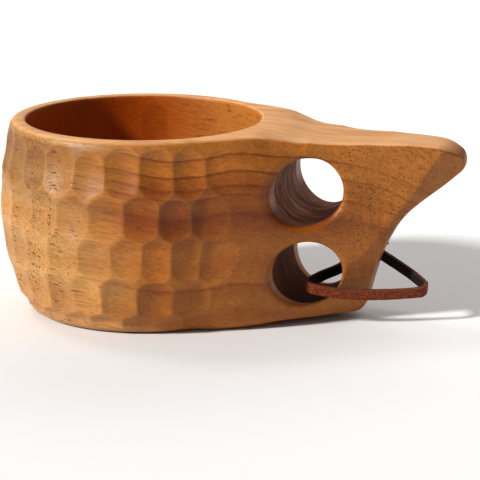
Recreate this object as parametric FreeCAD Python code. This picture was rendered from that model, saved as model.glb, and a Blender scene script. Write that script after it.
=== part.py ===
import FreeCAD, Part
import os
import math

# Wooden drinking cup (kuksa) with a finger-hole handle and a leather loop.
# Frame: millimetres, +Z up, origin at the centre of the flat base under the
# bowl's axis, +X along the handle.  The cup is symmetric about the XZ plane.

V = FreeCAD.Vector

# ---------------------------------------------------------------- dimensions
RIM_Z = 64.6            # height of the rim above the base
BOWL_INNER_R = 39.2     # inner radius of the bowl at the rim
BOWL_FLOOR_Z = 8.0      # wood left under the bowl
BOWL_FLOOR_R = 15.0     # flat part of the bowl floor
RIM_ROUND = 0.7         # rounding of the rim's inner edge
# outside radius of the bowl by height
BOWL_OUTER = [(0.0, 36.6), (1.6, 38.9), (4.0, 41.0), (7.5, 42.5), (12.5, 44.1),
              (18.5, 45.5), (26.0, 46.8), (34.0, 47.5), (42.0, 47.4),
              (49.0, 46.9), (55.5, 45.8), (60.2, 44.6), (62.4, 43.8), (63.8, 42.8),
              (64.6, 41.3)]
SHOULDER_ANGLE = 57.0   # where the bowl's outline turns into the handle
SHOULDER_FILLET = 9.0   # hollow between the bowl and the handle
SHOULDER_BULGE = 1.3    # the shoulder stands proud of a straight line by this much
HANDLE_X = 59.0         # station at which the handle thickness is given
# half thickness of the handle at HANDLE_X, and its taper per mm, by height
HANDLE_HALF = [(0.0, 15.0, -0.38), (10.0, 15.4, -0.40), (18.0, 15.7, -0.40),
               (32.0, 16.6, -0.34), (45.0, 16.9, -0.29), (56.0, 16.7, -0.22),
               (65.0, 16.4, -0.18)]
HANDLE_MIN_HALF = 8.2   # the handle is never thinner than twice this
EDGE_DROP = 3.2         # how far the handle's faces round over at its outline
EDGE_REACH = 5.5        # and over what distance
HANDLE_TOP_Z = 61.3
HANDLE_BOTTOM_Z = 2.4
HOLE_R = 10.95          # two finger holes across the handle
HOLE_TOP = (59.2, 45.4)
HOLE_LOW = (58.7, 18.1)
HOLE_ROUND = 1.1        # rounding of the holes' edges
# the cup from the side: top line, round tip, hollow rear edge, round heel
TOP_START_X = 44.0      # where the rim starts to fall to the handle
TOP_LINE = [(50.0, 63.9), (56.0, 62.7), (62.0, 62.1), (70.0, 61.5),
            (80.0, 61.3), (90.0, 61.2), (97.0, 60.7), (102.0, 60.0)]
TIP_R = 4.6
TIP_CENTRE = (103.6, 54.4)      # the furthest point is at x = 108.2
TIP_FROM, TIP_TO = 52.0, -53.0  # degrees above +X
REAR_LINE = [(101.6, 46.7), (97.1, 43.3), (93.1, 40.1), (89.8, 36.9),
             (87.0, 33.2), (84.6, 29.4), (82.4, 25.2), (80.3, 20.4),
             (78.5, 14.6), (77.1, 9.4)]
HEEL_R = 3.8
HEEL_CENTRE = (72.3, 6.2)
HEEL_FROM, HEEL_TO = -16.9, -88.3
FLAT_END_X = 36.0       # where the underside starts to rise


def at(table, z, column=1):
    """Value of a (z, ...) table at height z, on a smooth curve through its rows."""
    rows = [(r[0], r[column]) for r in table]
    if z <= rows[0][0]:
        return rows[0][1]
    if z >= rows[-1][0]:
        return rows[-1][1]
    slopes = []
    for i in range(len(rows)):
        a, b = rows[max(i - 1, 0)], rows[min(i + 1, len(rows) - 1)]
        slopes.append((b[1] - a[1]) / (b[0] - a[0]))
    for i in range(len(rows) - 1):
        a, b = rows[i], rows[i + 1]
        if z <= b[0]:
            h = b[0] - a[0]
            t = (z - a[0]) / h
            return ((2 * t ** 3 - 3 * t ** 2 + 1) * a[1] + (t ** 3 - 2 * t ** 2 + t) * h * slopes[i]
                    + (3 * t ** 2 - 2 * t ** 3) * b[1] + (t ** 3 - t ** 2) * h * slopes[i + 1])


def rear_x(z):
    """How far the handle reaches at height z."""
    lo = HEEL_CENTRE[1] + HEEL_R * math.sin(math.radians(HEEL_FROM))
    hi = TIP_CENTRE[1] + TIP_R * math.sin(math.radians(TIP_TO))
    if z < lo:
        d = max(-1.0, (z - HEEL_CENTRE[1]) / HEEL_R)
        return HEEL_CENTRE[0] + HEEL_R * math.sqrt(max(0.0, 1.0 - d * d))
    if z > hi:
        d = min(1.0, (z - TIP_CENTRE[1]) / TIP_R)
        return TIP_CENTRE[0] + TIP_R * math.sqrt(max(0.0, 1.0 - d * d))
    heel = on_circle(HEEL_CENTRE, HEEL_R, HEEL_FROM)
    tip = on_circle(TIP_CENTRE, TIP_R, TIP_TO)
    rows = [(heel.z, heel.x)] + [(q[1], q[0]) for q in reversed(REAR_LINE)] + [(tip.z, tip.x)]
    return at(rows, z)


def drop(distance):
    """How far a face has rounded over at this distance inside its outline."""
    k = max(0.0, 1.0 - distance / EDGE_REACH)
    return min(EDGE_DROP * k * k, EDGE_DROP * 1.9)


def half_outline(z):
    """Half of the cup's outline (y >= 0) at one height, from the far side of
    the bowl to beyond the handle's end, as points for a spline."""
    r = at(BOWL_OUTER, z)
    half0 = at(HANDLE_HALF, z, 1) - drop(HANDLE_TOP_Z - z) - drop(z - HANDLE_BOTTOM_Z)
    taper = at(HANDLE_HALF, z, 2)
    a = math.radians(SHOULDER_ANGLE)
    pts = []
    for i in range(10):
        th = math.pi + (a - math.pi) * i / 9.0
        pts.append((r * math.cos(th), r * math.sin(th)))
    # the shoulder runs straight off the bowl, then hollows into the handle
    px, py = pts[-1]
    slope = -math.cos(a) / math.sin(a)
    # where the shoulder's line meets the handle's side
    xj = (half0 - taper * HANDLE_X - py + slope * px) / (slope - taper)
    yj = py + slope * (xj - px)
    turn = math.atan(taper) - math.atan(slope)
    tangent = SHOULDER_FILLET * math.tan(abs(turn) / 2.0)
    u1 = math.cos(math.atan(slope)), math.sin(math.atan(slope))
    u2 = math.cos(math.atan(taper)), math.sin(math.atan(taper))
    a1 = (xj - tangent * u1[0], yj - tangent * u1[1])
    a2 = (xj + tangent * u2[0], yj + tangent * u2[1])
    n1 = (-u1[1] * SHOULDER_BULGE, u1[0] * SHOULDER_BULGE)
    pts.append(((px + a1[0]) / 2.0 + n1[0], (py + a1[1]) / 2.0 + n1[1]))
    pts.append(a1)
    mid = ((a1[0] + a2[0]) / 4.0 + xj / 2.0, (a1[1] + a2[1]) / 4.0 + yj / 2.0)
    pts.append(mid)
    pts.append(a2)
    low = HANDLE_MIN_HALF
    end = rear_x(z)

    def side(x):
        y = half0 + taper * (x - HANDLE_X)
        return low + 1.6 * math.log(1.0 + math.exp((y - low) / 1.6))
    first = a2[0] + (end - 6.0 - a2[0]) * 0.5
    for x in (first, end - 6.0, end - 3.5, end - 1.5, end):
        pts.append((x, side(x) - drop(end - x)))
    pts.append((end + 1.6, max(0.8, side(end) - EDGE_DROP - 1.6)))
    pts.append((128.0, max(0.6, side(end) - EDGE_DROP - 3.4)))
    return pts


def section(z):
    half = half_outline(z)
    loop = [V(x, y, z) for x, y in reversed(half)] + [V(x, -y, z) for x, y in half[1:]]
    curve = Part.BSplineCurve()
    # one spacing shared by all the heights keeps the loft even
    ref = half_outline(34.0)
    ref_loop = [V(x, y, 0) for x, y in reversed(ref)] + [V(x, -y, 0) for x, y in ref[1:]]
    s = [0.0]
    for p, q in zip(ref_loop, ref_loop[1:]):
        s.append(s[-1] + math.sqrt(p.distanceToPoint(q)))
    curve.interpolate(Points=loop, Parameters=[v / s[-1] for v in s])
    back = Part.LineSegment(loop[-1], loop[0])
    return Part.Wire([curve.toShape(), back.toShape()])


def on_circle(centre, r, deg):
    t = math.radians(deg)
    return V(centre[0] + r * math.cos(t), 0, centre[1] + r * math.sin(t))


def clockwise(deg):
    t = math.radians(deg)
    return V(math.sin(t), 0, -math.cos(t))


def side_profile():
    """The cup seen from the side: flat base, rim, top of the handle, tip,
    hollow rear edge, heel.  A closed face in the XZ plane."""
    def P(x, z):
        return V(x, 0, z)

    def curve(points, t0, t1):
        c = Part.BSplineCurve()
        c.interpolate(Points=points, InitialTangent=t0, FinalTangent=t1)
        return c.toShape()
    left = -60.0
    tip = [on_circle(TIP_CENTRE, TIP_R, d)
           for d in (TIP_FROM, (TIP_FROM + TIP_TO) / 2.0, TIP_TO)]
    heel = [on_circle(HEEL_CENTRE, HEEL_R, d)
            for d in (HEEL_FROM, (HEEL_FROM + HEEL_TO) / 2.0, HEEL_TO)]
    edges = [
        Part.LineSegment(P(FLAT_END_X, 0), P(left, 0)).toShape(),
        Part.LineSegment(P(left, 0), P(left, RIM_Z)).toShape(),
        Part.LineSegment(P(left, RIM_Z), P(TOP_START_X, RIM_Z)).toShape(),
        curve([P(TOP_START_X, RIM_Z)] + [P(*p) for p in TOP_LINE] + [tip[0]],
              V(1, 0, 0), clockwise(TIP_FROM)),
        Part.Arc(*tip).toShape(),
        curve([tip[2]] + [P(*p) for p in REAR_LINE] + [heel[0]],
              clockwise(TIP_TO), clockwise(HEEL_FROM)),
        Part.Arc(*heel).toShape(),
        curve([heel[2], P(62.0, 2.3), P(50.0, 1.4), P(43.0, 0.5), P(FLAT_END_X, 0)],
              clockwise(HEEL_TO), V(-1, 0, 0))]
    return Part.Face(Part.Wire(edges))


def bowl_hollow():
    """Inside of the bowl, turned about the Z axis."""
    r, z0 = BOWL_INNER_R, BOWL_FLOOR_Z
    top = RIM_Z + 10.0
    wall = Part.BSplineCurve()
    wall.interpolate(Points=[V(BOWL_FLOOR_R, 0, z0), V(26.0, 0, z0 + 2.0), V(34.2, 0, z0 + 8.0),
                             V(38.4, 0, z0 + 17.5), V(39.7, 0, z0 + 30.0), V(39.9, 0, z0 + 42.0),
                             V(r, 0, RIM_Z)],
                     InitialTangent=V(1, 0, 0), FinalTangent=V(-0.02, 0, 1))
    wire = Part.Wire([Part.LineSegment(V(0, 0, z0), V(BOWL_FLOOR_R, 0, z0)).toShape(),
                      wall.toShape(),
                      Part.LineSegment(V(r, 0, RIM_Z), V(r, 0, top)).toShape(),
                      Part.LineSegment(V(r, 0, top), V(0, 0, top)).toShape(),
                      Part.LineSegment(V(0, 0, top), V(0, 0, z0)).toShape()])
    return Part.Face(wire).revolve(V(0, 0, 0), V(0, 0, 1), 360)


def round_edges(shape, pick, radii, label):
    """Round the edges chosen by pick(), trying smaller radii when one fails."""
    for r in radii:
        edges = [e for e in shape.Edges if pick(e)]
        try:
            out = shape.makeFillet(r, edges)
            if out.isValid() and out.Volume > 0 and len(out.Solids) == 1:
                print("%s: %d edges rounded at %.2f mm" % (label, len(edges), r))
                return out.Solids[0]
        except Exception as err:
            print("%s: %.2f mm failed (%s)" % (label, r, str(err)[:60]))
    print("%s: left sharp" % label)
    return shape


def cup_body():
    levels = [0.0, 1.6, 4.0, 7.5, 12.0, 17.0, 22.0, 27.0, 32.0, 36.0, 40.0, 43.5, 47.0,
              50.0, 53.0, 56.0, 58.2, 60.2, 62.4, 63.8, RIM_Z]
    blank = Part.makeLoft([section(z) for z in levels], True, False)
    side = side_profile().extrude(V(0, 140, 0))
    side.translate(V(0, -70, 0))
    body = blank.common(side)
    if len(body.Solids) != 1:
        print("blank pieces", len(body.Solids))
    body = body.Solids[0]
    print("blank", body.isValid(), round(body.Volume))

    body = body.cut(bowl_hollow()).Solids[0]
    for x, z in (HOLE_TOP, HOLE_LOW):
        body = body.cut(Part.makeCylinder(HOLE_R, 80, V(x, -40, z), V(0, 1, 0))).Solids[0]

    def hole(e):
        span = e.LastParameter - e.FirstParameter
        pts = [e.valueAt(e.FirstParameter + span * k / 6.0) for k in range(7)]
        for x, z in (HOLE_TOP, HOLE_LOW):
            if all(abs(math.hypot(p.x - x, p.z - z) - HOLE_R) < 0.05 for p in pts):
                return max(p.z for p in pts) - min(p.z for p in pts) > 1.0
        return False
    body = round_edges(body, hole, (HOLE_ROUND, 1.0, 0.7), "finger holes")

    def rim(e):
        b = e.BoundBox
        return abs(b.ZMin - RIM_Z) < 0.05 and abs(b.ZMax - RIM_Z) < 0.05
    body = round_edges(body, lambda e: rim(e) and abs(e.BoundBox.XMin + BOWL_INNER_R) < 0.2,
                       (RIM_ROUND, 0.8, 0.5), "rim inside")
    return body


# ------------------------------------------------------------- leather loop
LACE_WIDTH = 3.5        # the flat lace is this wide
LACE_THICK = 1.7        # and this thick
LACE_D = 2.6            # round section of about the same area
LACE_FOLD_R = 2.9       # circle that its two tight folds go round
# corners of the loop, from the knot behind the handle, forward through the
# lower finger hole, along the front of the handle, out past its rear edge
# and back to the knot; third value in each row is how many points share the turn
LACE_CORNERS = [
    ((73.6, 13.3, 18.2), 0),
    ((67.6, 15.4, 15.4), 3),        # over the hole's rear edge
    ((66.6, 4.5, 15.1), 1),
    ((62.4, -6.2, 15.1), 1),
    ((56.8, -17.6, 13.8), 3),       # fold at the front of the hole
    ((72.0, -13.9, 11.0), 1),
    ((85.0, -9.0, 10.6), 1),
    ((98.7, -3.8, 11.1), 4),        # fold beyond the handle
    ((88.6, 3.8, 15.8), 1),
    ((78.6, 11.6, 18.9), 0)]
KNOT_CENTRE = (76.0, 13.2, 18.8)
KNOT_LENGTH = 5.6       # along the lace
KNOT_D = 4.4
KNOT_ROUND = 1.5
KNOT_TILT = 14.0
TAIL_FROM = (77.0, 13.6, 19.3)
TAIL_ALONG = (0.74, -0.08, 0.66)
TAIL_LENGTH = 5.2


def lace_route():
    """Control points of the loop: each sharp corner becomes a few points
    round a circle, evenly spaced."""
    out = []
    rows = [(V(*p), n) for p, n in LACE_CORNERS]
    for i, (p, n) in enumerate(rows):
        if n < 2:
            out.append(p)
            continue
        d1 = (p - rows[i - 1][0]).normalize()
        d2 = (rows[i + 1][0] - p).normalize()
        turn = d1.getAngle(d2)
        r = LACE_FOLD_R
        # circle tangent to both runs
        bis = (d2 - d1).normalize()
        c = p + bis * (r / math.cos(turn / 2.0))
        t1 = p - d1 * (r * math.tan(turn / 2.0))
        e1 = (t1 - c).normalize()
        e2 = d1
        step = turn / n
        for k in range(n):
            a = (k + 0.5) * step
            out.append(c + (e1 * math.cos(a) + e2 * math.sin(a)) * (r / math.cos(step / 2.0)))
    return out


def lace_path(points):
    """Straight runs joined by tangent arcs."""
    edges, radii = [], []
    start = points[0]
    for i in range(1, len(points) - 1):
        p, q, s = points[i - 1], points[i], points[i + 1]
        d1, d2 = (q - p).normalize(), (s - q).normalize()
        turn = d1.getAngle(d2)
        cut = 0.45 * min((q - p).Length, (s - q).Length)
        r = cut / math.tan(turn / 2.0)
        a, b = q - d1 * cut, q + d2 * cut
        mid_dir = (d2 - d1).normalize()
        centre = q + mid_dir * (r / math.cos(turn / 2.0))
        m = centre + (q - centre).normalize() * r
        edges.append(Part.LineSegment(start, a).toShape())
        edges.append(Part.Arc(a, m, b).toShape())
        radii.append((round(r, 2), round(math.degrees(turn), 1), round(min((q - p).Length, (s - q).Length), 1)))
        start = b
    edges.append(Part.LineSegment(start, points[-1]).toShape())
    return Part.Wire(edges), radii


def lace():
    points = lace_route()
    print("lace points", [tuple(round(v, 3) for v in p) for p in points])
    wire, radii = lace_path(points)
    print("lace radii (radius, turn, run)", radii)
    d = (points[1] - points[0]).normalize()
    ring = Part.Wire([Part.Circle(points[0], d, LACE_D / 2.0).toShape()])
    tube = wire.makePipeShell([ring], True, False)
    tube = tube.Solids[0] if tube.Solids else Part.makeSolid(tube)
    length = wire.Length
    area = math.pi * LACE_D ** 2 / 4.0
    print("lace length %.1f mm, volume %.1f of %.1f, valid %s"
          % (length, tube.Volume, area * length, tube.isValid()))
    return tube


def knot():
    """The tied ends: a rounded lump lying along the lace, and a short tail."""
    r = KNOT_D / 2.0
    lump = Part.makeCylinder(r, KNOT_LENGTH, V(-KNOT_LENGTH / 2.0, 0, 0), V(1, 0, 0))
    ends = [e for e in lump.Edges if isinstance(e.Curve, Part.Circle)]
    lump = lump.makeFillet(KNOT_ROUND, ends)
    lump.rotate(V(0, 0, 0), V(0, 1, 0), -KNOT_TILT)
    lump.translate(V(*KNOT_CENTRE))
    tail = Part.makeCylinder(0.85, TAIL_LENGTH, V(*TAIL_FROM), V(*TAIL_ALONG))
    return lump.fuse(tail).Solids[0]


os.makedirs("parts", exist_ok=True)
cup = cup_body()
print("cup valid", cup.isValid(), "solids", len(cup.Solids), "volume", round(cup.Volume))
cup.exportStep("parts/cup_body.step")
loop = lace()
tied = knot()
loop = loop.cut(tied)
print("loop pieces", len(loop.Solids))
loop = max(loop.Solids, key=lambda q: q.Volume)
print("knot valid", tied.isValid(), "volume", round(tied.Volume, 1))
loop.exportStep("parts/leather_lace.step")
tied.exportStep("parts/lace_knot.step")
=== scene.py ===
import math
import bpy
import numpy as np
from mathutils import Matrix, Vector


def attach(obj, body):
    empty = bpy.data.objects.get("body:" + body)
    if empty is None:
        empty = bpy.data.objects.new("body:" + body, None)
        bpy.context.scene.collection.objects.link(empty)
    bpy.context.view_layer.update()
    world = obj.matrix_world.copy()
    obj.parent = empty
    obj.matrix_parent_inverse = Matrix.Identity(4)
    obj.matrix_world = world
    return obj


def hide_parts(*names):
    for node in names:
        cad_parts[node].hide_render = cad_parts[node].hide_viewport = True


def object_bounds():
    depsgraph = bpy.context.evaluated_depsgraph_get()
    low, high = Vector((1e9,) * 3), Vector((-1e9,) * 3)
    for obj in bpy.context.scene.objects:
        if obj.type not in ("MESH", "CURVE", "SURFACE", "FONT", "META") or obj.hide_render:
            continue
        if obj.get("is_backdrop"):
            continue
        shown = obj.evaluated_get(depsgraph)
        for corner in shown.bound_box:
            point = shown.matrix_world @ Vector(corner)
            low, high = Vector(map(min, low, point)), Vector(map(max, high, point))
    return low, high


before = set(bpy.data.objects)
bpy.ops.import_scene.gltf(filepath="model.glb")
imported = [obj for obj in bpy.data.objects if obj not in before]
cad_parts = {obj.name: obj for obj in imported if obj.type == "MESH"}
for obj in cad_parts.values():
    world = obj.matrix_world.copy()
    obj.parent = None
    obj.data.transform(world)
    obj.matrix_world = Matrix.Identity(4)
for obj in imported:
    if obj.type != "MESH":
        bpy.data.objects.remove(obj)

CAD_BOX = [list(c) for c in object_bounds()]
MM = 0.001
scene = bpy.context.scene
scene.view_settings.view_transform = "Standard"
scene.view_settings.look = "None"

# ============================================================ camera
TARGET = Vector((0.03292, 0.0, 0.02395))
AZ, EL, DIST = math.radians(12.95), math.radians(13.91), 0.800
BACK = Vector((math.sin(AZ) * math.cos(EL), -math.cos(AZ) * math.cos(EL), math.sin(EL)))
cam_data = bpy.data.cameras.new("camera")
cam_data.lens, cam_data.sensor_width = 179.5, 36.0
cam_data.clip_start, cam_data.clip_end = 0.02, 20.0
cam = bpy.data.objects.new("camera", cam_data)
scene.collection.objects.link(cam)
cam.location = TARGET + BACK * DIST
cam.rotation_mode = "QUATERNION"
cam.rotation_quaternion = (-BACK).to_track_quat("-Z", "Y")
scene.camera = cam


def mesh_object(name, verts, faces, smooth=True):
    me = bpy.data.meshes.new(name)
    me.from_pydata([tuple(v) for v in verts], [], [tuple(f) for f in faces])
    me.validate()
    me.polygons.foreach_set("use_smooth", [smooth] * len(me.polygons))
    me.update()
    ob = bpy.data.objects.new(name, me)
    scene.collection.objects.link(ob)
    return ob


def vertex_value(me, name, values):
    a = me.attributes.new(name, "FLOAT", "POINT")
    a.data.foreach_set("value", np.asarray(values, np.float32))


# ============================================================ leather lace
# Route of the lace, the same points as in the CAD source: from the knot behind the handle,
# forward through the lower finger hole, round the front, out past the heel, and back.
LACE_ROUTE = [
    (73.6, 13.3, 18.2), (69.936, 14.582, 16.49), (68.386, 14.079, 15.782), (67.353, 12.708, 15.326),
    (66.6, 4.5, 15.1), (62.4, -6.2, 15.1), (58.887, -13.351, 14.285), (59.483, -15.435, 13.657),
    (61.351, -16.492, 12.962), (72.0, -13.9, 11.0), (85.0, -9.0, 10.6), (94.801, -5.28, 10.958),
    (95.795, -4.157, 11.324), (96.078, -2.757, 11.908), (95.575, -1.449, 12.554), (88.6, 3.8, 15.8),
    (78.6, 11.6, 18.9)]
LACE_WIDTH, LACE_THICK = 3.5, 1.7


def route_points(points, name, res=20):
    """Points of the smooth NURBS line through the route, in metres."""
    cu = bpy.data.curves.new(name, "CURVE")
    cu.dimensions = "3D"
    cu.resolution_u = res
    sp = cu.splines.new("NURBS")
    sp.points.add(len(points) - 1)
    for p, q in zip(sp.points, points):
        p.co = (q[0] * MM, q[1] * MM, q[2] * MM, 1.0)
    sp.order_u = 3
    sp.use_endpoint_u = True
    ob = bpy.data.objects.new(name, cu)
    scene.collection.objects.link(ob)
    bpy.context.view_layer.update()
    me = bpy.data.meshes.new_from_object(ob)
    pts = np.array([v.co[:] for v in me.vertices])
    bpy.data.meshes.remove(me)
    bpy.data.objects.remove(ob)
    bpy.data.curves.remove(cu)
    keep = [0] + [i for i in range(1, len(pts)) if np.linalg.norm(pts[i] - pts[i - 1]) > 1e-7]
    return pts[keep]


def unit(v):
    return v / np.maximum(np.linalg.norm(v, axis=-1, keepdims=True), 1e-12)


def rounded_section(w, t, r, n=5, side=7):
    """Closed outline of a flat strap's section: (across the width, through the thickness)."""
    out = []
    for cx, cy, a0 in ((w - r, t - r, 0), (-(w - r), t - r, 90), (-(w - r), -(t - r), 180), (w - r, -(t - r), 270)):
        arc = [(cx + r * math.cos(math.radians(a0 + 90 * k / n)), cy + r * math.sin(math.radians(a0 + 90 * k / n))) for k in range(n + 1)]
        if out:
            a, b = out[-1], arc[0]
            out += [(a[0] + (b[0] - a[0]) * k / side, a[1] + (b[1] - a[1]) * k / side) for k in range(1, side)] if abs(a[0] - b[0]) + abs(a[1] - b[1]) > 0.2 else []
        out += arc
    a, b = out[-1], out[0]
    out += [(a[0] + (b[0] - a[0]) * k / 3, a[1] + (b[1] - a[1]) * k / 3) for k in range(1, 3)]
    return np.array(out)


def strap(name, path, width_dir, half_w, half_t, corner, rng, rough=0.05, taper=None, cup=0.12):
    """A strip of leather swept along a line; width_dir is one direction per point, sizes in mm."""
    P = np.asarray(path) / MM
    T = unit(np.gradient(P, axis=0))
    W = unit(width_dir - (width_dir * T).sum(1, keepdims=True) * T)
    N = np.cross(W, T)
    sec = rounded_section(half_w, half_t, corner)
    n, m = len(P), len(sec)
    s = np.concatenate([[0], np.cumsum(np.linalg.norm(np.diff(P, axis=0), axis=1))])
    # slow changes of width and thickness, and a fibrous surface
    def wander(step, amp):
        k = int(s[-1] / step) + 4
        return np.interp(s, np.linspace(0, s[-1], k), rng.uniform(-amp, amp, k))
    ww = 1.0 + wander(6.0, 0.035) + wander(1.6, 0.018)
    tt = 1.0 + wander(5.0, 0.05) + wander(1.4, 0.03)
    if taper is not None:
        ww, tt = ww * taper, tt * taper
    V = np.empty((n, m, 3))
    side = np.empty((n, m)); edge = np.empty((n, m))
    grit = rng.normal(0, 1, (n, m))
    grit = (grit + np.roll(grit, 1, 1) + np.roll(grit, -1, 1)) / 3
    grit[1:-1] = (grit[:-2] + 2 * grit[1:-1] + grit[2:]) / 4
    for j, (a, b) in enumerate(sec):
        u, v = a * ww, (b + cup * (1 - (a / half_w) ** 2) * (1 if b > 0 else -0.35)) * tt
        g = grit[:, j] * rough
        nn = math.hypot(a / half_w, b / half_t)
        V[:, j] = P + W * (u + g * a / half_w / nn)[:, None] + N * (v + g * b / half_t / nn)[:, None]
        side[:, j] = b / half_t
        edge[:, j] = abs(a) / half_w
    V = V.reshape(-1, 3)
    faces = []
    for i in range(n - 1):
        for j in range(m):
            k = (j + 1) % m
            faces.append((i * m + j, i * m + k, (i + 1) * m + k, (i + 1) * m + j))
    # closed ends, slightly crowned
    for i, flip in ((0, True), (n - 1, False)):
        c = len(V)
        V = np.vstack([V, P[i] + (T[i] * (0.12 if not flip else -0.12))])
        side = np.append(side.ravel(), 0.0); edge = np.append(edge.ravel(), 1.0)
        for j in range(m):
            k = (j + 1) % m
            a, b = i * m + j, i * m + k
            faces.append((b, a, c) if flip else (a, b, c))
    ob = mesh_object(name, V * MM, faces)
    vertex_value(ob.data, "side", side.ravel())
    vertex_value(ob.data, "edge", edge.ravel())
    return ob, s


rng = np.random.RandomState(5)
lace_path = route_points(LACE_ROUTE, "lace_route", 24)
# the loop lies in one tilted plane: the strap's width is across that plane
c0 = lace_path.mean(0)
u_, s_, vt = np.linalg.svd(lace_path - c0)
loop_normal = vt[2] * (1 if vt[2][2] > 0 else -1)
tang = unit(np.gradient(lace_path, axis=0))
outward = np.cross(tang, np.broadcast_to(loop_normal, tang.shape))
sense = np.sign(((lace_path - c0) * outward).sum(1).mean())
width_dir = np.broadcast_to(loop_normal, lace_path.shape).copy()
lace, lace_s = strap("lace", lace_path, width_dir, LACE_WIDTH / 2, LACE_THICK / 2, 0.42, rng, rough=0.055)
# N = W x T in strap(); 'side' is +1 on the N face. The outer face is the grain side.
n_out = np.cross(width_dir, tang)
if ((lace_path - c0) * n_out).sum() < 0:
    a = lace.data.attributes["side"]
    v = np.empty(len(lace.data.vertices), np.float32); a.data.foreach_get("value", v); a.data.foreach_set("value", -v)

# ------------------------------------------------------------ knot: the two ends, wrapped and pulled tight
K0 = np.array([76.0, 13.2, 18.8]); KA = unit(np.array([math.cos(math.radians(14)), 0.0, math.sin(math.radians(14))]))
KU = unit(np.cross(np.array([0.0, 1.0, 0.0]), KA)); KV = np.cross(KA, KU)
turns, pitch, rad = 2.9, 1.42, 1.26
t = np.linspace(0, 1, 150)
ang = 2 * np.pi * turns * t + 0.6
lift = rad + 0.10 * np.sin(3 * ang + 1.0)
wrap = (K0 + KA * ((t - 0.5) * turns * pitch)[:, None] + KU * (lift * np.cos(ang))[:, None] + KV * (lift * np.sin(ang))[:, None])
wrap_w = np.broadcast_to(KA, wrap.shape)
knot_wrap, _ = strap("knot_wrap", wrap * MM, np.array(wrap_w), 0.80, 0.62, 0.40, rng, rough=0.03, cup=0.14)
if True:
    a = knot_wrap.data.attributes["side"]
    v = np.empty(len(knot_wrap.data.vertices), np.float32); a.data.foreach_get("value", v)
    # the outside of the wraps is the grain side
    co = np.array([q.co[:] for q in knot_wrap.data.vertices]) / MM - K0
    r_ = np.linalg.norm(co - (co @ KA)[:, None] * KA, axis=1)
    if np.corrcoef(r_, v)[0, 1] < 0:
        a.data.foreach_set("value", -v)
# the lace's two ends pass through the wraps
tail_dir = unit(np.array([0.74, -0.08, 0.66]))
t = np.linspace(0, 1, 34)[:, None]
core = np.array([74.0, 13.3, 18.3]) * (1 - t) ** 2 + 2 * t * (1 - t) * np.array([76.4, 13.7, 18.6]) + t ** 2 * (np.array([77.0, 13.6, 19.3]) + tail_dir * 5.0)
knot_tail, _ = strap("knot_tail", core * MM, np.broadcast_to(np.array([0.1, 1.0, 0.1]), core.shape).copy(), 0.84, 0.60, 0.34, rng, rough=0.035,
                     taper=(1.0 - 0.25 * t[:, 0] ** 3))
t = np.linspace(0, 1, 26)[:, None]
core2 = np.array([79.2, 11.9, 18.9]) * (1 - t) ** 2 + 2 * t * (1 - t) * np.array([76.6, 13.0, 18.9]) + t ** 2 * np.array([73.2, 12.7, 18.7])
knot_end, _ = strap("knot_end", core2 * MM, np.broadcast_to(np.array([0.0, 0.3, 1.0]), core2.shape).copy(), 0.80, 0.60, 0.34, rng, rough=0.035)

for piece in (lace, knot_wrap, knot_tail, knot_end):
    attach(piece, "lace")
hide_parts("leather_lace")
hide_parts("lace_knot")

# ============================================================ cup body

# ---------------------------------------------------------------- cup body
# The carved cup as one implicit surface, in millimetres, f < 0 inside.
RIM_Z, RIN, FLOOR_Z = 64.6, 39.2, 8.0
HOLES = ((59.2, 45.4, 10.95), (58.7, 18.1, 10.95))
TIP_C, TIP_R = (103.6, 54.4), 4.6
HEEL_C, HEEL_R = (72.3, 6.2), 3.8

def herm(xs, ys, x):
    """Smooth curve through points, for arrays."""
    xs = np.asarray(xs, float); ys = np.asarray(ys, float)
    m = np.empty_like(ys)
    m[1:-1] = (ys[2:] - ys[:-2]) / (xs[2:] - xs[:-2])
    m[0] = (ys[1] - ys[0]) / (xs[1] - xs[0]); m[-1] = (ys[-1] - ys[-2]) / (xs[-1] - xs[-2])
    x = np.clip(x, xs[0], xs[-1])
    i = np.clip(np.searchsorted(xs, x, side="right") - 1, 0, len(xs) - 2)
    h = xs[i + 1] - xs[i]; t = (x - xs[i]) / h
    return ((2*t**3 - 3*t**2 + 1) * ys[i] + (t**3 - 2*t**2 + t) * h * m[i]
            + (3*t**2 - 2*t**3) * ys[i+1] + (t**3 - t**2) * h * m[i+1])

OUT_Z = (-2.0, 0.0, 1.6, 4.0, 7.5, 12.5, 18.5, 26.0, 34.0, 42.0, 49.0, 55.5, 60.2, 64.6, 67.0)
OUT_R = (36.6, 38.0, 39.5, 41.1, 42.5, 44.1, 45.5, 46.8, 47.5, 47.4, 46.9, 45.8, 44.7, 43.4, 42.6)
HALF_Z = (0.0, 10.0, 18.0, 32.0, 45.0, 56.0, 65.0)
HALF_T = (15.0, 15.4, 15.7, 16.6, 16.9, 16.7, 16.4)
HALF_S = (-0.38, -0.40, -0.40, -0.34, -0.29, -0.22, -0.18)
RTAB_Z = np.arange(-3, 69, 0.25)
RTAB = herm(OUT_Z, OUT_R, RTAB_Z)
HTAB = herm(HALF_Z, HALF_T, RTAB_Z)
STAB = herm(HALF_Z, HALF_S, RTAB_Z)

def smax(a, b, k):
    h = np.clip(0.5 - 0.5 * (b - a) / k, 0, 1)
    return b + (a - b) * h + k * h * (1 - h)

def smin(a, b, k):
    return -smax(-a, -b, k)

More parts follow.
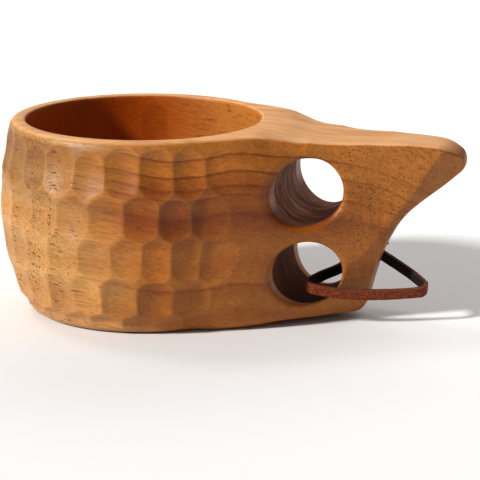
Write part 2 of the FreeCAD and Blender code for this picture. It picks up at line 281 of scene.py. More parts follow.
# --- side profile: distance to a closed outline in XZ, kept on a fine grid
def side_outline():
    def arc(c, r, a0, a1, n):
        t = np.radians(np.linspace(a0, a1, n))
        return np.stack([c[0] + r*np.cos(t), c[1] + r*np.sin(t)], 1)
    def spline(pts, n=12):
        # Catmull-Rom through points
        p = np.asarray(pts, float)
        q = np.vstack([2*p[0]-p[1], p, 2*p[-1]-p[-2]])
        out = []
        for i in range(1, len(q)-2):
            t = np.linspace(0, 1, n, endpoint=False)[:, None]
            a, b, c, d = q[i-1], q[i], q[i+1], q[i+2]
            out.append(0.5*((2*b) + (c-a)*t + (2*a-5*b+4*c-d)*t**2 + (3*b-a-3*c+d)*t**3))
        out.append(p[-1:])
        return np.vstack(out)
    tip = arc(TIP_C, TIP_R, 52, -53, 24)
    heel = arc(HEEL_C, HEEL_R, -16.9, -88.3, 16)
    top = spline([(36, 64.6), (40, 64.6), (44, 64.55), (50, 63.9), (56, 62.7), (62, 62.0), (70, 61.5), (80, 61.3),
                  (90, 61.2), (97, 60.7), (102, 60.0), tuple(tip[0])])[12:]
    rear = spline([tuple(tip[-1]), (101.6, 46.7), (97.1, 43.3), (93.1, 40.1), (89.8, 36.9), (87.0, 33.2),
                   (84.6, 29.4), (82.4, 25.2), (80.3, 20.4), (78.5, 14.6), (77.1, 9.4), tuple(heel[0])])
    under = spline([tuple(heel[-1]), (62.0, 2.35), (50.0, 1.5), (43.0, 0.6), (36.0, 0.0), (30.0, 0.0)])[:-12]
    return np.vstack([[(-70, 0.0), (-70, RIM_Z)], top, tip[1:], rear[1:], heel[1:], under[1:]])

def poly_sdf(poly, gx, gz):
    P = np.stack(np.meshgrid(gx, gz, indexing="ij"), -1).reshape(-1, 2)
    a = poly; b = np.roll(poly, -1, 0)
    best = np.full(len(P), 1e9); inside = np.zeros(len(P), bool)
    for p0, p1 in zip(a, b):
        e = p1 - p0; L = e @ e
        if L < 1e-12: continue
        w = P - p0
        t = np.clip((w @ e) / L, 0, 1)
        d = ((w - t[:, None]*e)**2).sum(1)
        best = np.minimum(best, d)
        c = ((p0[1] > P[:, 1]) != (p1[1] > P[:, 1]))
        if c.any():
            xi = p0[0] + (P[:, 1] - p0[1]) * (p1[0]-p0[0]) / (p1[1]-p0[1] + 1e-30)
            inside ^= c & (P[:, 0] < xi)
    s = np.sqrt(best); s[inside] *= -1
    return s.reshape(len(gx), len(gz))

SG = 0.5
SX = np.arange(-56, 116, SG); SZ = np.arange(-6, 74, SG)
SIDE = poly_sdf(side_outline(), SX, SZ)

# --- bowl hollow: distance in (r, z)
def bowl_outline():
    zz = [FLOOR_Z, FLOOR_Z, FLOOR_Z + 0.45, FLOOR_Z+2.1, FLOOR_Z+4.6, FLOOR_Z+8.2, FLOOR_Z+12.6, FLOOR_Z+18, FLOOR_Z+24, FLOOR_Z+32, FLOOR_Z+42, RIM_Z, 80]
    rr = [0, 14, 19.0, 26, 30.6, 34.4, 37.0, 38.6, 39.4, 39.8, 39.8, RIN, 38.9]
    s = np.arange(len(rr)); t = np.linspace(0, len(rr)-1, 240)
    r = herm(s, rr, t); z = herm(s, zz, t)
    return np.vstack([np.stack([r, z], 1), [(0, 80)]])
BX = np.arange(0, 60, SG); BZ = np.arange(-6, 74, SG)
BOWL = poly_sdf(np.vstack([bowl_outline(), [(-40, 80), (-40, FLOOR_Z)]]), BX, BZ)

def lookup(tab, x0, z0, x, z):
    fx = np.clip((x - x0) / SG, 0, tab.shape[0] - 1.001); fz = np.clip((z - z0) / SG, 0, tab.shape[1] - 1.001)
    i = fx.astype(int); k = fz.astype(int); u = fx - i; v = fz - k
    return (tab[i, k]*(1-u)*(1-v) + tab[i+1, k]*u*(1-v) + tab[i, k+1]*(1-u)*v + tab[i+1, k+1]*u*v)


# ------------------------------------------------------------ gouge cuts on the outside of the bowl
def cut_table():
    """(angle from the front in degrees, + towards the handle; height; depth; tilts)"""
    r = np.random.RandomState(11)
    rows = []
    front = {
        55.2: [46.5, 33.0, 19.7, 6.6, -7.0, -21.3, -34.9, -48.0],
        40.6: [40.0, 26.8, 13.6, 0.2, -14.2, -28.6, -42.0],
        27.2: [42.5, 31.0, 19.8, 7.9, -5.4, -18.8, -33.0, -46.0],
        13.4: [33.8, 19.6, 4.3, -10.6, -23.4, -37.0, -50.0],
        0.6: [40.0, 26.0, 12.0, -3.0, -17.0, -31.0, -45.0]}
    for z, th in front.items():
        for a in th:
            rows.append((a, z + r.uniform(-0.7, 0.7), 0.78 + r.uniform(-0.10, 0.10), r.uniform(-0.02, 0.02), r.uniform(-0.012, 0.012)))
        a = th[-1]
        while a > -224:
            a -= 13.4 + r.uniform(-1.6, 1.6)
            rows.append((a, z + r.uniform(-1.6, 1.6), 0.76 + r.uniform(-0.15, 0.12), r.uniform(-0.03, 0.03), r.uniform(-0.02, 0.02)))
    return np.array(rows)


CUTS = cut_table()
FT = np.arange(-272.0, 92.0, 0.25)
FZ = np.arange(-4.0, 70.0, 0.25)


def facet_grids():
    T, Z = np.meshgrid(FT, FZ, indexing="ij")
    soft = 0.05
    total = np.exp(np.zeros_like(T)) * 1.0
    best = np.zeros_like(T); second = np.full_like(T, -9.0); tone = np.zeros_like(T)
    tr = np.random.RandomState(3)
    for a0, z0, dep0, tu, tv in CUTS:
        u = np.radians(T - a0) * 47.0
        v = Z - z0
        if z0 < 5.0:
            d = 1.0 + dep0 - u * u / 54.0 - v * v / 30.0
        elif z0 > 50.0:
            d = dep0 + 0.05 - u * u / 54.0 - np.where(v > 0, v * v / 58.0, v * v / 100.0) + tu * u + tv * v
        else:
            d = dep0 - u * u / 54.0 - np.where(v > 0, v * v / 56.0, v * v / 104.0) + tu * u + tv * v
        tn = tr.uniform(-1, 1)
        new = d > best
        second = np.where(new, best, np.maximum(second, d))
        tone = np.where(new, tn, tone)
        best = np.maximum(best, d)
        total += np.exp(np.clip(d, -3, 3) / soft)
    depth = soft * np.log(total)
    fade = np.where(T > -90.0, (62.0 - T) / 34.0, (T + 242.0) / 34.0)
    fade = np.clip(fade, 0, 1)
    fade = fade * fade * (3 - 2 * fade)
    # the cuts run out above the foot, which is left smooth
    foot = np.clip((Z - 0.2) / 5.2, 0, 1)
    fade = fade * foot * foot * (3 - 2 * foot)
    ridge = np.exp(-np.maximum(best - second, 0) / 0.07) * fade
    return (depth - 0.32) * fade * 1.85, ridge, tone * fade


FACET, RIDGE, TONE = facet_grids()


def facet_at(grid, x, y, z):
    th = np.degrees(np.arctan2(x, -y))
    th = np.where(th > 90.0, th - 360.0, th)
    fx = np.clip((th - FT[0]) / 0.25, 0, len(FT) - 1.001)
    fz = np.clip((z - FZ[0]) / 0.25, 0, len(FZ) - 1.001)
    i = fx.astype(int); k = fz.astype(int); u = fx - i; v = fz - k
    g = (grid[i, k] * (1 - u) * (1 - v) + grid[i + 1, k] * u * (1 - v) + grid[i, k + 1] * (1 - u) * v + grid[i + 1, k + 1] * u * v)
    ok = (np.hypot(x, y) > 34.0) & (x < 52.0)
    return np.where(ok, g, 0.0)


def facets(x, y, z):
    return facet_at(FACET, x, y, z)


# knife cuts on the handle: a point on the cut, the way it faces, how softly it meets the rest
KNIFE = (
    ((101.6, -7.6, 56.0), (0.55, -0.75, -0.36), 0.4),
    ((104.9, -1.0, 58.6), (0.55, -0.12, 0.83), 0.6),
    ((103.5, 6.3, 54.0), (0.50, 0.82, -0.20), 0.8),
)


def handle_cuts(x, y, z):
    """Shallow scoops along the handle's top edges, in mm."""
    out = np.zeros_like(x)
    for x0, w, a, s in ((52.0, 9.0, 0.55, -1), (68.0, 11.0, 0.45, -1), (84.0, 8.0, 0.50, -1), (95.0, 6.0, 0.40, -1),
                        (56.0, 9.0, 0.5, 1), (74.0, 10.0, 0.45, 1), (90.0, 8.0, 0.5, 1)):
        u = (x - x0) / w
        e = np.clip((s * y - 6.0) / 8.0, 0, 1) * np.clip((z - 52.0) / 8.0, 0, 1)
        out = np.maximum(out, a * (1 - u * u) * e)
    return out

# --- gouge facets on the outside of the bowl: angle seen from the front (deg, 0 = -Y, + towards the handle), height
def base_outline(x, y, z):
    """Plan distance of the bowl with its shoulders, and the bowl angle."""
    ay = np.abs(y)
    r = np.hypot(x, y)
    ang = np.degrees(np.arctan2(ay, x))
    R = np.interp(z, RTAB_Z, RTAB)
    dl = np.clip(57.0 - ang, 0, 57)
    bump = 2.3 * np.sin(np.pi * dl / 57.0)**2
    d = r * np.cos(np.radians(dl)) - R - bump
    return d, ang, r

def body(x, y, z, cut=True):
    d, ang, r = base_outline(x, y, z)
    if cut:
        d = d + facets(x, y, z)
    t0 = np.interp(z, RTAB_Z, HTAB); ts = np.interp(z, RTAB_Z, STAB)
    t = t0 + ts * (x - 59.0)
    t = 8.2 + 1.6 * np.log1p(np.exp(np.clip((t - 8.2) / 1.6, -30, 30)))
    # the tip narrows in plan
    t = t - 2.6 * np.clip((x - 96.0) / 12.0, 0, 1)**2
    slab = (np.abs(y) - t) / np.sqrt(1 + ts**2)
    slab = np.maximum(slab, 30.0 - x)
    d = smin(d, slab, 7.0)
    S = lookup(SIDE, SX[0], SZ[0], x, z)
    up = np.clip((z - 46.0) / 8.0, 0, 1)
    k = 2.0 + (3.2 - 2.0) * np.clip((x - 44.0) / 20.0, 0, 1) * (1 - up) - 0.8 * np.clip((x - 22.0) / 16.0, 0, 1) * up * (y < 0)
    k = k + 1.6 * np.clip((8.0 - z) / 8.0, 0, 1) * (x < 60)
    d = smax(d, S, k)
    C = lookup(BOWL, 0.0, BZ[0], r, z)
    d = smax(d, -C, 1.0)
    for hx, hz, hr in HOLES:
        h = np.hypot(x - hx, z - hz) - hr
        d = smax(d, -h, 2.6)
    if cut:
        far = np.clip((x - 40.0) / 8.0, 0, 1)
        d = d + handle_cuts(x, y, z) * far
        for (cx, cy, cz), (nx, ny, nz), k in KNIFE:
            L = math.sqrt(nx * nx + ny * ny + nz * nz)
            d = smax(d, ((x - cx) * nx + (y - cy) * ny + (z - cz) * nz) / L, k)
    return d


def surface_nets(f, lo, hi, h):
    """Closed quad mesh of f = 0, each vertex at the mean of its cell's edge crossings."""
    n = np.ceil((hi - lo) / h).astype(int) + 1
    ax = [lo[k] + h * np.arange(n[k]) for k in range(3)]
    F = np.empty(n, np.float32)
    Y, Z = np.meshgrid(ax[1], ax[2], indexing="ij")
    for i, xv in enumerate(ax[0]):
        F[i] = f(np.full_like(Y, xv), Y, Z)
    S = F < 0
    c = np.zeros(tuple(n - 1), np.int8)
    for dx in (0, 1):
        for dy in (0, 1):
            for dz in (0, 1):
                c += S[dx:n[0]-1+dx, dy:n[1]-1+dy, dz:n[2]-1+dz]
    act = (c > 0) & (c < 8)
    idx = np.full(act.shape, -1, np.int64)
    cells = np.argwhere(act)
    idx[act] = np.arange(len(cells))
    acc = np.zeros((len(cells), 3)); cnt = np.zeros(len(cells))
    ci, cj, ck = cells.T
    corners = [(a, b, d) for a in (0, 1) for b in (0, 1) for d in (0, 1)]
    for a in corners:
        for axis in range(3):
            if a[axis]: continue
            b = list(a); b[axis] = 1
            fa = F[ci+a[0], cj+a[1], ck+a[2]]; fb = F[ci+b[0], cj+b[1], ck+b[2]]
            m = (fa < 0) != (fb < 0)
            t = np.where(m, fa / (fa - fb + 1e-12), 0)
            p = np.array(a, float)[None].repeat(len(cells), 0); p[:, axis] = t
            acc[m] += p[m]; cnt[m] += 1
    V = lo + h * (cells + acc / cnt[:, None])
    quads = []
    for axis in range(3):
        b, c2 = [(1, 2), (2, 0), (0, 1)][axis]
        sl0 = [slice(None)]*3; sl1 = [slice(None)]*3
        sl0[axis] = slice(0, n[axis]-1); sl1[axis] = slice(1, n[axis])
        s0 = S[tuple(sl0)]; s1 = S[tuple(sl1)]
        e = np.argwhere(s0 != s1)
        ok = (e[:, b] > 0) & (e[:, b] < n[b]-1) & (e[:, c2] > 0) & (e[:, c2] < n[c2]-1)
        e = e[ok]
        ub = np.zeros(3, int); ub[b] = 1; uc = np.zeros(3, int); uc[c2] = 1
        q = np.stack([idx[tuple((e - ub - uc).T)], idx[tuple((e - uc).T)], idx[tuple(e.T)], idx[tuple((e - ub).T)]], 1)
        flip = ~S[tuple(e.T)]
        q[flip] = q[flip][:, ::-1]
        quads.append(q)
    return V, np.vstack(quads)

def pull(f, V, steps=3, e=0.05):
    for _ in range(steps):
        x, y, z = V.T
        d = f(x, y, z)
        g = np.stack([(f(x+e, y, z) - f(x-e, y, z)), (f(x, y+e, z) - f(x, y-e, z)), (f(x, y, z+e) - f(x, y, z-e))], 1) / (2*e)
        g2 = np.maximum((g**2).sum(1), 0.2)
        V = V - np.clip(d, -0.6, 0.6)[:, None] * g / g2[:, None]
    return V


def relax(f, V, Q, rounds=2):
    """Evens the mesh out and puts it back on the surface."""
    a = np.concatenate([Q[:, 0], Q[:, 1], Q[:, 2], Q[:, 3]]); b = np.concatenate([Q[:, 1], Q[:, 2], Q[:, 3], Q[:, 0]])
    i = np.concatenate([a, b]); j = np.concatenate([b, a])
    n = np.bincount(i, minlength=len(V)).astype(float)
    for _ in range(rounds):
        m = np.stack([np.bincount(i, V[j, k], len(V)) for k in range(3)], 1) / n[:, None]
        V = V + 0.6 * (m - V)
        V = pull(f, V, 2)
    return V


def solid(x, y, z):
    return body(x, y, z, True)


V, Q = surface_nets(solid, np.array([-50.0, -50.0, -2.0]), np.array([112.0, 50.0, 68.0]), 0.62)
V = pull(solid, V, 2)
V = relax(solid, V, Q, 2)
V[:, 2] = np.maximum(V[:, 2], 0.0)
cup = mesh_object("cup", V * MM, Q.tolist())
vertex_value(cup.data, "ridge", facet_at(RIDGE, *V.T))
vertex_value(cup.data, "tone", facet_at(TONE, *V.T))
hole_d = np.min([np.abs(np.hypot(V[:, 0] - hx, V[:, 2] - hz) - hr) for hx, hz, hr in HOLES], axis=0)
# depth of a point inside the handle's thickness: the rounded mouths of the bores keep the colour of the sides
half_t = np.interp(V[:, 2], RTAB_Z, HTAB) + np.interp(V[:, 2], RTAB_Z, STAB) * (V[:, 0] - 59.0)
deep_in = np.clip((half_t - np.abs(V[:, 1]) - 2.1) / 1.0, 0, 1)
vertex_value(cup.data, "bore", np.clip(1.0 - hole_d / 0.9, 0, 1) * deep_in)
inside = (np.hypot(V[:, 0], V[:, 1]) < 40.6) & (V[:, 2] > 7.0) & (V[:, 2] < 64.2)
vertex_value(cup.data, "inner", inside.astype(np.float32))
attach(cup, "cup")
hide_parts("cup_body")

# ============================================================ materials
def lin(r, g, b):
    def f(c):
        c = c / 255.0
        return c / 12.92 if c <= 0.04045 else ((c + 0.055) / 1.055) ** 2.4
    return (f(r), f(g), f(b), 1.0)


class Graph:
    """Short names for the shader nodes used below. Values are sockets or numbers."""

    def __init__(self, name):
        self.mat = bpy.data.materials.new(name)
        self.mat.use_nodes = True
        self.t = self.mat.node_tree
        self.t.nodes.clear()
        self.out = self.t.nodes.new("ShaderNodeOutputMaterial")
        self.bsdf = self.t.nodes.new("ShaderNodeBsdfPrincipled")
        self.t.links.new(self.bsdf.outputs[0], self.out.inputs[0])
        tc = self.t.nodes.new("ShaderNodeTexCoord")
        self.P = self.vmath("SCALE", tc.outputs["Object"], scale=1000.0)      # millimetres

    def put(self, socket, v):
        if isinstance(v, bpy.types.NodeSocket):
            self.t.links.new(v, socket)
        else:
            socket.default_value = v

    def math(self, op, a, b=None, c=None, clamp=False):
        n = self.t.nodes.new("ShaderNodeMath")
        n.operation, n.use_clamp = op, clamp
        for s, v in zip(n.inputs, (a, b, c)):
            if v is not None:
                self.put(s, v)
        return n.outputs[0]

    def vmath(self, op, a, b=None, scale=None):
        n = self.t.nodes.new("ShaderNodeVectorMath")
        n.operation = op
        self.put(n.inputs[0], a)
        if b is not None:
            self.put(n.inputs[1], b)
        if scale is not None:
            self.put(n.inputs["Scale"], scale)
        return n.outputs[0]

    def split(self, v):
        n = self.t.nodes.new("ShaderNodeSeparateXYZ")
        self.put(n.inputs[0], v)
        return n.outputs[0], n.outputs[1], n.outputs[2]

    def join(self, x, y, z):
        n = self.t.nodes.new("ShaderNodeCombineXYZ")
        for s, v in zip(n.inputs, (x, y, z)):
            self.put(s, v)
        return n.outputs[0]

    def noise(self, vec, scale=1.0, detail=2.0, rough=0.5, distort=0.0, colour=False):
        n = self.t.nodes.new("ShaderNodeTexNoise")
        self.put(n.inputs["Vector"], vec)
        n.inputs["Scale"].default_value = scale
        n.inputs["Detail"].default_value = detail
        n.inputs["Roughness"].default_value = rough
        n.inputs["Distortion"].default_value = distort
        return n.outputs["Color" if colour else "Fac"]

    def cells(self, vec, scale=1.0, rand=1.0):
        n = self.t.nodes.new("ShaderNodeTexVoronoi")
        self.put(n.inputs["Vector"], vec)
        n.inputs["Scale"].default_value = scale
        n.inputs["Randomness"].default_value = rand
        return n.outputs["Distance"], n.outputs["Color"]

    def span(self, v, a, b, lo=0.0, hi=1.0, smooth=True):
        n = self.t.nodes.new("ShaderNodeMapRange")
        n.interpolation_type = "SMOOTHSTEP" if smooth else "LINEAR"
        self.put(n.inputs["Value"], v)
        n.inputs["From Min"].default_value, n.inputs["From Max"].default_value = a, b
        n.inputs["To Min"].default_value, n.inputs["To Max"].default_value = lo, hi
        return n.outputs["Result"]

    def curve(self, v, points):
        """Smooth curve through (x, y) points, x and y in 0..1."""
        n = self.t.nodes.new("ShaderNodeFloatCurve")
        c = n.mapping.curves[0]
        while len(c.points) < len(points):
            c.points.new(0.5, 0.5)
        for p, (x, y) in zip(c.points, points):
            p.location = (x, y)
            p.handle_type = "AUTO_CLAMPED"
        n.mapping.update()
        self.put(n.inputs["Value"], v)
        return n.outputs[0]

    def ramp(self, v, stops, interp="LINEAR"):
        n = self.t.nodes.new("ShaderNodeValToRGB")
        n.color_ramp.interpolation = interp
        e = n.color_ramp.elements
        while len(e) < len(stops):
            e.new(0.5)
        for s, (p, c) in zip(e, sorted(stops, key=lambda q: q[0])):
            s.position = p
            s.color = c if len(c) == 4 else (*c, 1.0)
        self.put(n.inputs[0], v)
        return n.outputs[0]

    def mix(self, f, a, b, how="MIX"):
        n = self.t.nodes.new("ShaderNodeMix")
        n.data_type, n.blend_type = "RGBA", how
        n.clamp_factor = True
        self.put(n.inputs[0], f)
        self.put(n.inputs[6], a)
        self.put(n.inputs[7], b)
        return n.outputs[2]

    def attr(self, name):
        n = self.t.nodes.new("ShaderNodeAttribute")
        n.attribute_name = name
        return n.outputs["Fac"]

    def bump(self, height, strength, distance, normal=None):
        n = self.t.nodes.new("ShaderNodeBump")
        n.inputs["Strength"].default_value = strength
        n.inputs["Distance"].default_value = distance
        self.put(n.inputs["Height"], height)
        if normal is not None:
            self.put(n.inputs["Normal"], normal)
        return n.outputs[0]

    def grey(self, v):
        return self.join(v, v, v)


# ------------------------------------------------------------ oiled wood
g = Graph("oiled_wood")
X, Y, Z = g.split(g.P)
wob = g.noise(g.join(g.math("MULTIPLY", X, 0.030), g.math("MULTIPLY", Y, 0.075), g.math("MULTIPLY", Z, 0.085)), 1.0, 3.0, 0.55)
wob2 = g.noise(g.join(g.math("MULTIPLY", X, 0.11), g.math("MULTIPLY", Y, 0.34), g.math("MULTIPLY", Z, 0.36)), 1.0, 2.0, 0.5)
# the height of the growth layers along the blank: x -50..110 mm, height -24..8 mm
H = ((-50, 4.2), (-30, 3.6), (-12, 2.6), (0, 1.3), (10, -0.5), (19, -1.9), (29, -1.6), (40, 0.0), (49, -0.9), (60, -2.3),
     (72, -4.2), (80, -6.3), (86, -8.5), (91, -11.0), (100, -16.0), (110, -22.0))
hx = g.curve(g.span(X, -50.0, 110.0, smooth=False), [((x + 50) / 160.0, (h + 24) / 32.0) for x, h in H])
hgt = g.math("MULTIPLY_ADD", hx, 32.0, -24.0)
# w is a layer's own height: 0..66 mm, softly wavy
w0 = g.math("SUBTRACT", Z, hgt)
w = g.math("ADD", w0, g.math("MULTIPLY_ADD", wob, 2.4, -1.2))
w = g.math("ADD", w, g.math("MULTIPLY_ADD", wob2, 0.8, -0.4))
w = g.math("SUBTRACT", w, g.math("MULTIPLY", g.math("MULTIPLY", Y, Y), 0.0009))
wn = g.math("DIVIDE", w, 80.0, clamp=True)

def W(v):
    return v / 80.0

# layers as the wood was laid down, pale to dark
honey = lin(160, 99, 46); amber = lin(164, 101, 46); brown = lin(152, 89, 38); russet = lin(136, 73, 29); dark = lin(108, 52, 19)
layers = g.ramp(wn, [
    (W(0.0), amber), (W(6.0), brown), (W(10.0), amber), (W(15.0), brown), (W(16.2), russet), (W(17.0), amber), (W(24.0), brown),
    (W(29.0), amber), (W(33.5), brown), (W(36.5), russet), (W(40.2), dark), (W(41.0), russet), (W(44.0), brown), (W(45.9), russet), (W(46.4), dark),
    (W(46.9), brown), (W(48.8), russet), (W(49.3), dark), (W(49.8), brown), (W(52.6), brown), (W(53.5), dark), (W(53.9), amber), (W(58.2), brown), (W(58.9), dark),
    (W(59.3), honey), (W(72.0), honey)])
sap = g.ramp(wn, [
    (W(0.0), lin(171, 124, 77)), (W(9.0), lin(164, 117, 67)), (W(14.0), lin(178, 135, 83)), (W(21.0), lin(166, 119, 68)), (W(26.0), lin(178, 135, 85)),
    (W(33.0), lin(162, 115, 65)), (W(38.0), lin(164, 122, 74)), (W(45.0), lin(134, 92, 49)), (W(47.0), lin(144, 105, 60)), (W(53.0), lin(132, 90, 47)),
    (W(57.5), lin(124, 83, 40)), (W(58.3), lin(148, 110, 64)), (W(72.0), lin(152, 113, 66))])
# dark heart of the blank: the bowl's middle, ending towards the left end of the bowl
hn = g.math("ADD", X, g.math("MULTIPLY_ADD", wob, 26.0, -13.0))
hn = g.math("ADD", hn, g.math("MULTIPLY_ADD", g.math("ABSOLUTE", g.math("SUBTRACT", w, 42.0)), -0.35, 0.0))
heart = g.span(hn, -22.0, 12.0)
base = g.mix(heart, sap, layers)
# deep red-brown heart inside and in the middle layers
deep = g.math("MULTIPLY", g.span(w, 24.0, 38.0), g.span(w, 56.0, 49.0))
deep = g.math("MULTIPLY", deep, g.math("MULTIPLY", g.span(X, -4.0, 16.0), g.span(X, 66.0, 40.0)))
base = g.mix(g.math("MULTIPLY", deep, 0.45), base, lin(110, 52, 22))
# the handle past the finger holes is a warmer, plainer brown
tipw = g.span(X, 62.0, 80.0)
base = g.mix(g.math("MULTIPLY", tipw, 0.50), base, lin(150, 94, 43))
# fine streaks along the fibres
fib = g.noise(g.join(g.math("MULTIPLY", X, 0.10), g.math("MULTIPLY", Y, 2.2), g.math("MULTIPLY", w0, 2.4)), 1.0, 3.0, 0.6)
fib2 = g.noise(g.join(g.math("MULTIPLY", X, 0.035), g.math("MULTIPLY", Y, 0.65), g.math("MULTIPLY", w0, 0.75)), 1.0, 2.0, 0.5)
base = g.mix(0.46, base, g.ramp(fib, [(0.30, lin(120, 105, 92)), (0.50, lin(186, 186, 186)), (0.72, lin(222, 218, 210))]), "OVERLAY")
base = g.mix(0.22, base, g.ramp(fib2, [(0.30, lin(140, 120, 104)), (0.50, lin(188, 188, 188)), (0.70, lin(218, 214, 206))]), "OVERLAY")
mottle = g.noise(g.vmath("SCALE", g.P, scale=0.16), 1.0, 4.0, 0.6)
base = g.mix(0.14, base, g.ramp(mottle, [(0.32, lin(140, 118, 100)), (0.52, lin(188, 188, 188)), (0.70, lin(226, 220, 206))]), "OVERLAY")
# pores: long ones, few, and short ones, many, all along the fibres
def pores(lx, ly, lz, size, keep, seed):
    v = g.join(g.math("DIVIDE", X, lx), g.math("ADD", g.math("DIVIDE", Y, ly), seed), g.math("DIVIDE", w0, lz))
    dist, col = g.cells(v)
    r, _, _ = g.split(col)
    hit = g.span(dist, size, size * 0.45)
    return g.math("MULTIPLY", hit, g.span(r, 1.0 - keep, 1.0 - keep + 0.05))

long_p = pores(8.5, 1.30, 1.05, 0.33, 0.42, 3.7)
short_p = pores(3.2, 0.60, 0.42, 0.32, 0.50, 11.3)
dots = pores(1.3, 0.50, 0.40, 0.36, 0.50, 23.1)
left_end = g.span(X, 4.0, -22.0)
patch = g.span(g.noise(g.vmath("SCALE", g.P, scale=0.055), 1.0, 2.0, 0.5), 0.42, 0.60)
on_handle = g.span(X, 58.0, 74.0)
long_a = g.math("MULTIPLY", long_p, g.math("MULTIPLY_ADD", left_end, 0.92, 0.08))
short_a = g.math("MULTIPLY", short_p, g.math("ADD", g.math("MULTIPLY", g.math("MAXIMUM", left_end, on_handle), g.math("MULTIPLY_ADD", patch, 0.55, 0.42)), 0.16))
dots_a = g.math("MULTIPLY", dots, g.math("MULTIPLY_ADD", g.math("MAXIMUM", on_handle, g.math("MULTIPLY", left_end, patch)), 0.75, 0.20))
pore = g.math("MAXIMUM", long_a, g.math("MAXIMUM", short_a, dots_a))
base = g.mix(g.math("MULTIPLY", pore, 0.90), base, lin(58, 26, 10))
# inside of the bowl: redder, with dark wavy grain towards the handle
inner = g.attr("inner")
grain_v = g.join(g.math("MULTIPLY", X, 0.12), g.math("MULTIPLY", Y, 0.20), g.math("ADD", g.math("MULTIPLY", Z, 0.95), g.math("MULTIPLY", wob2, 3.2)))
grain = g.noise(grain_v, 1.0, 2.5, 0.6, 0.35)
in_col = g.mix(g.span(X, -18.0, 30.0), lin(156, 64, 22), lin(168, 108, 54))
in_col = g.mix(g.math("MULTIPLY", g.span(grain, 0.55, 0.70), g.math("MULTIPLY_ADD", g.span(X, -14.0, 16.0), 0.80, 0.12)), in_col, lin(104, 54, 24))
in_col = g.mix(0.35, in_col, g.ramp(fib, [(0.30, lin(120, 105, 92)), (0.50, lin(186, 186, 186)), (0.72, lin(222, 218, 210))]), "OVERLAY")
base = g.mix(g.math("MULTIPLY", inner, 0.88), base, in_col)
# the bored walls of the finger holes: end grain, greyer and streaky round the bore
bore = g.attr("bore")
turn = g.noise(g.join(g.math("MULTIPLY", X, 0.07), g.math("ADD", g.math("MULTIPLY", Y, 1.25), g.math("MULTIPLY", wob2, 2.0)), g.math("MULTIPLY", Z, 0.09)), 1.0, 4.0, 0.62, 0.3)
bore_col = g.ramp(turn, [(0.34, lin(52, 26, 20)), (0.44, lin(96, 58, 46)), (0.52, lin(128, 84, 66)), (0.58, lin(160, 120, 102)), (0.68, lin(208, 178, 160))])
# painted shade: the lower hole's wall is painted dark brown with faint streaks, darker still towards its bottom; the
# upper hole keeps the streaky end-grain colours
lower_bore_shade_col = g.mix(g.span(turn, 0.40, 0.62), lin(58, 22, 9), lin(104, 50, 26))
lower_bore_shade_col = g.mix(g.span(Z, 16.0, 7.0), lower_bore_shade_col, lin(46, 16, 6))
bore_col = g.mix(g.span(Z, 26.0, 36.0), lower_bore_shade_col, bore_col)
base = g.mix(g.math("MULTIPLY", g.span(bore, 0.35, 0.95), 0.94), base, bore_col)
# painted highlight: ridges between the cuts (outside the bowl) are painted pale where they would catch the light; each
# cut shows its own depth of colour
base = g.mix(g.math("MULTIPLY", g.math("MULTIPLY", g.attr("ridge"), 0.24), g.math("SUBTRACT", 1.0, inner)), base, lin(206, 144, 84))
tone = g.attr("tone")
base = g.mix(0.5, base, g.ramp(g.math("MULTIPLY_ADD", tone, 0.5, 0.5), [(0.0, lin(160, 150, 142)), (0.5, lin(188, 188, 188)), (1.0, lin(208, 206, 200))]), "OVERLAY")
# painted sheen: faces turned upwards on the rim and the top edges are painted paler than the sides, for the light they
# catch
gm = g.t.nodes.new("ShaderNodeNewGeometry")
_, _, up = g.split(gm.outputs["Normal"])
top_sheen_mask = g.math("MULTIPLY", g.span(up, 0.45, 0.92), g.span(Z, 57.5, 60.0))
pink = g.noise(g.join(g.math("MULTIPLY", X, 0.05), g.math("MULTIPLY", Y, 0.22), g.math("MULTIPLY", Z, 0.2)), 1.0, 3.0, 0.6)
top_sheen_col = g.ramp(pink, [(0.32, lin(190, 134, 90)), (0.5, lin(208, 156, 108)), (0.68, lin(216, 169, 122))])
base = g.mix(g.math("MULTIPLY", top_sheen_mask, 0.85), base, top_sheen_col)
sat = g.t.nodes.new("ShaderNodeHueSaturation")
sat.inputs["Saturation"].default_value = 1.04
sat.inputs["Value"].default_value = 1.0
g.put(sat.inputs["Color"], base)
g.put(g.bsdf.inputs["Base Color"], sat.outputs[0])
rough = g.math("MULTIPLY_ADD", fib, 0.16, 0.36)
rough = g.math("ADD", rough, g.math("MULTIPLY", pore, 0.18))
g.put(g.bsdf.inputs["Roughness"], g.math("ADD", rough, g.math("MULTIPLY", bore, 0.45), clamp=True))
g.bsdf.inputs["IOR"].default_value = 1.36
g.bsdf.inputs["Subsurface Weight"].default_value = 0.0
hgt_b = g.math("SUBTRACT", g.math("MULTIPLY", fib, 0.35), g.math("MULTIPLY", pore, 1.0))
hgt_b = g.math("ADD", hgt_b, g.math("MULTIPLY", g.noise(g.vmath("SCALE", g.P, scale=0.30), 1.0, 2.0, 0.5), 0.8))
g.put(g.bsdf.inputs["Normal"], g.bump(hgt_b, 0.55, 0.00016))
wood = g.mat
cup.data.materials.clear()
cup.data.materials.append(wood)

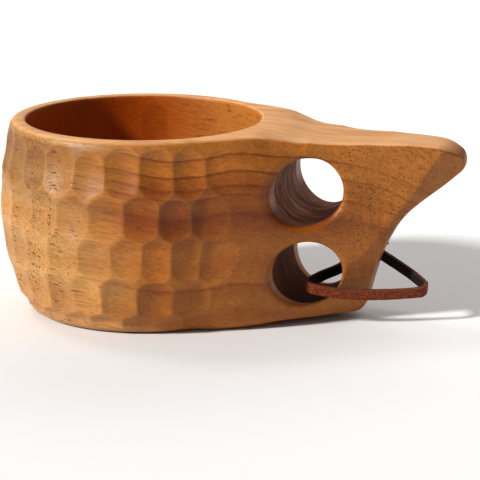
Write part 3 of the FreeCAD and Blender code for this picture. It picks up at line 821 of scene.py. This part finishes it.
# ------------------------------------------------------------ lace leather
g = Graph("lace_leather")
side, edge = g.attr("side"), g.attr("edge")
n1 = g.noise(g.P, 0.9, 4.0, 0.65)
n2 = g.noise(g.P, 3.2, 3.0, 0.7)
dist, col = g.cells(g.P, 1.9)
grain_c = g.ramp(n1, [(0.28, lin(58, 19, 6)), (0.46, lin(94, 36, 11)), (0.62, lin(120, 52, 17)), (0.78, lin(140, 68, 28))])
grain_c = g.mix(g.math("MULTIPLY", g.span(n2, 0.56, 0.63), 0.66), grain_c, lin(192, 112, 60))
grain_c = g.mix(g.math("MULTIPLY", g.span(dist, 0.34, 0.16), 0.78), grain_c, lin(36, 10, 4))
flesh_c = g.ramp(n2, [(0.30, lin(8, 5, 5)), (0.55, lin(17, 11, 10)), (0.80, lin(44, 24, 18))])
edge_c = g.ramp(n2, [(0.30, lin(60, 24, 16)), (0.52, lin(104, 52, 38)), (0.74, lin(158, 98, 74))])
colr = g.mix(g.span(side, -0.25, 0.30), flesh_c, grain_c)
cut = g.math("MULTIPLY", g.span(edge, 0.86, 0.97), g.span(side, -0.9, -0.2))
colr = g.mix(g.math("MULTIPLY", cut, 0.75), colr, edge_c)
g.put(g.bsdf.inputs["Base Color"], colr)
g.put(g.bsdf.inputs["Roughness"], g.span(n1, 0.3, 0.75, 0.58, 0.80, smooth=False))
g.bsdf.inputs["IOR"].default_value = 1.42
g.bsdf.inputs["Specular IOR Level"].default_value = 0.22
h = g.math("ADD", g.math("MULTIPLY", n2, 0.7), g.math("MULTIPLY", g.span(dist, 0.0, 0.4), 0.6))
g.put(g.bsdf.inputs["Normal"], g.bump(h, 0.8, 0.00022))
leather = g.mat
for piece in (lace, knot_wrap, knot_tail, knot_end):
    piece.data.materials.clear()
    piece.data.materials.append(leather)

# ============================================================ floor and light
def stage_material():
    m = bpy.data.materials.new("studio_floor")
    m.use_nodes = True
    t = m.node_tree
    b = t.nodes["Principled BSDF"]
    n = t.nodes.new("ShaderNodeTexNoise"); n.inputs["Scale"].default_value = 1.5
    r = t.nodes.new("ShaderNodeValToRGB")
    r.color_ramp.elements[0].color = (0.72, 0.72, 0.725, 1); r.color_ramp.elements[1].color = (0.75, 0.75, 0.752, 1)
    t.links.new(n.outputs["Fac"], r.inputs[0]); t.links.new(r.outputs[0], b.inputs["Base Color"])
    b.inputs["Roughness"].default_value = 0.9
    b.inputs["Specular IOR Level"].default_value = 0.1
    return m


floor = mesh_object("floor", [(-4, -4, 0), (4, -4, 0), (4, 5, 0), (-4, 5, 0)], [(0, 1, 2, 3)], smooth=False)
floor.data.materials.append(stage_material())
floor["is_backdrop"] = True

world = bpy.data.worlds.new("studio") if scene.world is None else scene.world
scene.world = world
world.use_nodes = True
bg = world.node_tree.nodes.get("Background") or world.node_tree.nodes.new("ShaderNodeBackground")
bg.inputs[0].default_value = (1.0, 0.985, 0.97, 1.0)
bg.inputs[1].default_value = 0.24


def aim(ob, at):
    ob.rotation_mode = "QUATERNION"
    ob.rotation_quaternion = (Vector(at) - ob.location).to_track_quat("-Z", "Y")


def area(name, where, at, sx, sy, power, colour):
    d = bpy.data.lights.new(name, "AREA")
    d.shape, d.size, d.size_y, d.energy, d.color = "RECTANGLE", sx, sy, power, colour
    o = bpy.data.objects.new(name, d)
    scene.collection.objects.link(o)
    o.location = where
    aim(o, at)
    return o


def sun(name, frm, angle, power, colour):
    d = bpy.data.lights.new(name, "SUN")
    d.angle, d.energy, d.color = math.radians(angle), power, colour
    o = bpy.data.objects.new(name, d)
    scene.collection.objects.link(o)
    o.location = frm
    aim(o, (0, 0, 0))
    return o


sun("key", (-0.64, -0.54, 0.49), 7.0, 5.0, (1.0, 0.975, 0.94))
sun("top_left", (-0.60, 0.35, 1.0), 16.0, 0.62, (1.0, 0.98, 0.96))
back = area("back_panel", (0.1, 1.35, 0.75), (0.03, 0.0, 0.04), 2.2, 0.9, 16.0, (1.0, 0.99, 0.98))
back.visible_glossy = False      # it fills, without a haze on faces seen at a low angle

{"cad": [[float(x) for x in c] for c in CAD_BOX], "visual": [[float(x) for x in c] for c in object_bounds()]}
